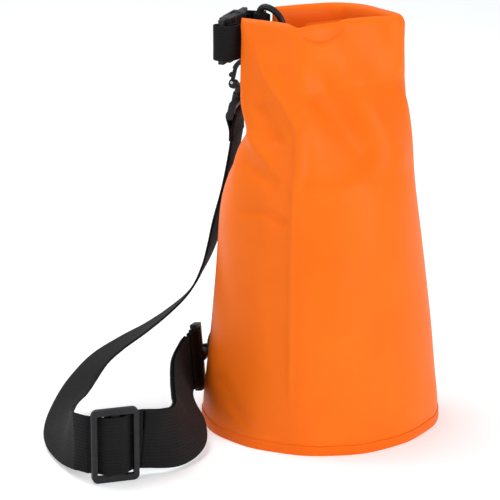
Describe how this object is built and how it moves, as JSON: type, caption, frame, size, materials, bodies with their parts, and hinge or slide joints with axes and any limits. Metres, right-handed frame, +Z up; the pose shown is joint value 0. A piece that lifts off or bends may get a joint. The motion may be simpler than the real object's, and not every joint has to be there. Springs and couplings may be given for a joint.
{
  "type": "dry bag",
  "caption": "Roll-top dry bag in coated fabric, standing closed, with a side-release buckle, a closure ring and a detachable adjustable shoulder strap on swivel hooks.",
  "frame": {"origin": "centre of the round base, on the floor that the bag stands on", "axes": "+Z up, along the bag from its base to its rolled mouth; -X towards the buckle that closes the loop and the shoulder strap; -Y towards the front"},
  "size_m": [0.3401, 0.272, 0.3581],
  "materials": {
    "orange_tarpaulin": "satin",
    "orange_patch": "satin",
    "stiffener_plastic": "matte",
    "closure_webbing": "matte",
    "strap_webbing": "matte",
    "black_plastic": "satin",
    "steel_pin": "satin"
  },
  "bodies": {
    "bag": {"side_wall": "orange_tarpaulin", "base_disc": "orange_tarpaulin", "base_hem": "orange_tarpaulin", "mouth_roll": "orange_tarpaulin", "mouth_stiffener": "stiffener_plastic", "closure_webbing_front": "closure_webbing", "closure_webbing_back": "closure_webbing", "buckle_socket": "black_plastic", "closure_ring_tab": "closure_webbing", "upper_patch": "orange_patch", "upper_tab": "closure_webbing", "upper_hook_base": "black_plastic", "lower_patch": "orange_patch", "lower_tab": "closure_webbing", "lower_hook_base": "black_plastic", "strap_top_loop": "strap_webbing", "strap_bottom_loop": "strap_webbing", "strap_upper_run": "strap_webbing", "strap_lower_run": "strap_webbing", "strap_return_run": "strap_webbing"},
    "plug": {"buckle_plug": "black_plastic"},
    "upper_arm": {"buckle_arm_upper": "black_plastic"},
    "lower_arm": {"buckle_arm_lower": "black_plastic"},
    "closure_ring": {"closure_ring": "black_plastic"},
    "upper_ring": {"upper_ring": "black_plastic"},
    "upper_hook": {"upper_hook": "black_plastic", "upper_hook_pin": "steel_pin", "upper_gate_pin": "steel_pin"},
    "upper_gate": {"upper_gate": "black_plastic"},
    "lower_ring": {"lower_ring": "black_plastic"},
    "lower_hook": {"lower_hook": "black_plastic", "lower_hook_pin": "steel_pin", "lower_gate_pin": "steel_pin"},
    "lower_gate": {"lower_gate": "black_plastic"},
    "slider": {"slider": "black_plastic", "slider_loop": "strap_webbing"}
  },
  "joints": [
    {"name": "buckle_release", "type": "slide", "parent": "bag", "child": "plug", "axis": [-0.3584, -0.9336, 0], "range_m": [0, 0.024], "deforming": ["closure_webbing_front", "buckle_arm_upper", "buckle_arm_lower"]},
    {"name": "upper_arm_squeeze", "type": "hinge", "parent": "plug", "child": "upper_arm", "pos_m": [-0.07883, 0.00996, 0.3415], "axis": [0.9336, -0.3584, 0], "range_deg": [-12, 0], "stiffness_Nm_per_rad": 0.2},
    {"name": "lower_arm_squeeze", "type": "hinge", "parent": "plug", "child": "lower_arm", "pos_m": [-0.07883, 0.00996, 0.3225], "axis": [0.9336, -0.3584, 0], "range_deg": [0, 12], "stiffness_Nm_per_rad": 0.2},
    {"name": "closure_ring_swing", "type": "hinge", "parent": "bag", "child": "closure_ring", "pos_m": [-0.053, 0.0285, 0.337], "axis": [0, 0, 1], "range_deg": [-20, 10]},
    {"name": "upper_ring_swing", "type": "hinge", "parent": "bag", "child": "upper_ring", "pos_m": [-0.05361, 0.03576, 0.31168], "axis": [0.1994, 0.9799, 0], "range_deg": [-4, 1]},
    {"name": "upper_hook_swivel", "type": "hinge", "parent": "bag", "child": "upper_hook", "pos_m": [-0.0725, 0.0396, 0.2629], "axis": [0.2037, -0.0414, 0.9781], "range_deg": [-15, 15]},
    {"name": "upper_gate_press", "type": "hinge", "parent": "upper_hook", "child": "upper_gate", "pos_m": [-0.076, 0.04031, 0.28697], "axis": [0.1994, 0.9799, 0], "range_deg": [0, 20], "stiffness_Nm_per_rad": 0.02},
    {"name": "lower_ring_swing", "type": "hinge", "parent": "bag", "child": "lower_ring", "pos_m": [-0.08305, 0.06821, 0.0402], "axis": [0.082, -0.1284, -0.9883], "range_deg": [-4, 1]},
    {"name": "lower_hook_swivel", "type": "hinge", "parent": "bag", "child": "lower_hook", "pos_m": [-0.1077, 0.0232, 0.044], "axis": [0.2907, 0.9516, -0.0995], "range_deg": [-15, 15]},
    {"name": "lower_gate_press", "type": "hinge", "parent": "lower_hook", "child": "lower_gate", "pos_m": [-0.10918, 0.04727, 0.04075], "axis": [0.082, -0.1284, -0.9883], "range_deg": [0, 20], "stiffness_Nm_per_rad": 0.02},
    {"name": "slider_slide", "type": "slide", "parent": "bag", "child": "slider", "axis": [0.9511, 0.309, 0], "range_m": [-0.012, 0.012], "deforming": ["strap_upper_run", "strap_lower_run", "strap_return_run"]}
  ]
}
